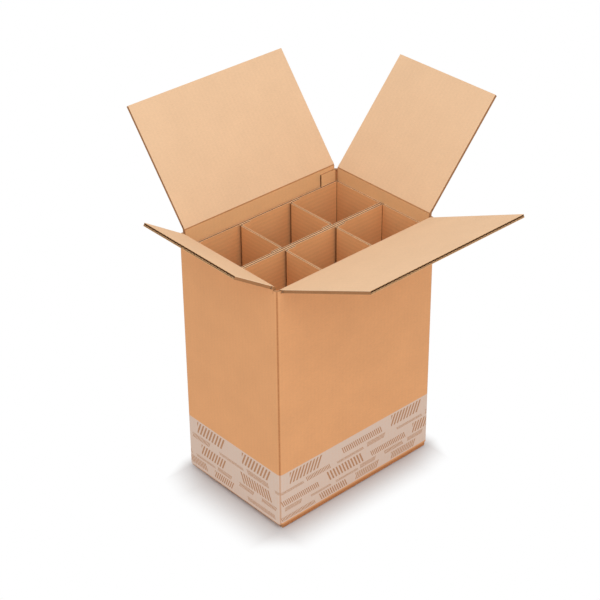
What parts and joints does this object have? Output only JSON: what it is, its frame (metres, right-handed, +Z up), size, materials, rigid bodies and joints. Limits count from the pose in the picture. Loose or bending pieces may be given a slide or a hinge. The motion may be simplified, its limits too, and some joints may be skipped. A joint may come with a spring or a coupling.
{
  "type": "bottle shipping box",
  "caption": "Upright corrugated shipping case with hinged top flaps standing open and a cell insert that keeps standing bottles apart.",
  "frame": {"origin": "middle of the case's underside, on the floor it stands on", "axes": "+Z up, +X along the long walls towards the long end flap, -Y out of the near long wall (front)"},
  "size_m": [0.4665, 0.4631, 0.5313],
  "materials": {
    "case_board": "matt brown kraft liner",
    "insert_board": "matt brown test liner"
  },
  "bodies": {
    "case": {"case": "case_board", "sleeve_front": "insert_board", "sleeve_back": "insert_board", "divider_front_left": "insert_board", "divider_front_right": "insert_board", "divider_back_left": "insert_board", "divider_back_right": "insert_board"},
    "flap_front": {"flap_front": "case_board"},
    "flap_back": {"flap_back": "case_board"},
    "flap_left": {"flap_left": "case_board"},
    "flap_right": {"flap_right": "case_board"}
  },
  "joints": [
    {"name": "front_flap_fold", "type": "hinge", "parent": "case", "child": "flap_front", "pos_m": [0, -0.09765, 0.378], "axis": [1, 0, 0], "range_deg": [-156, 109]},
    {"name": "back_flap_fold", "type": "hinge", "parent": "case", "child": "flap_back", "pos_m": [0, 0.09765, 0.3876], "axis": [-1, 0, 0], "range_deg": [-127.5, 137.5]},
    {"name": "left_flap_fold", "type": "hinge", "parent": "case", "child": "flap_left", "pos_m": [-0.14265, 0, 0.3828], "axis": [0, -1, 0], "range_deg": [-146.5, 118.5]},
    {"name": "right_flap_fold", "type": "hinge", "parent": "case", "child": "flap_right", "pos_m": [0.14265, 0, 0.3828], "axis": [0, 1, 0], "range_deg": [-131.5, 133.5]}
  ]
}
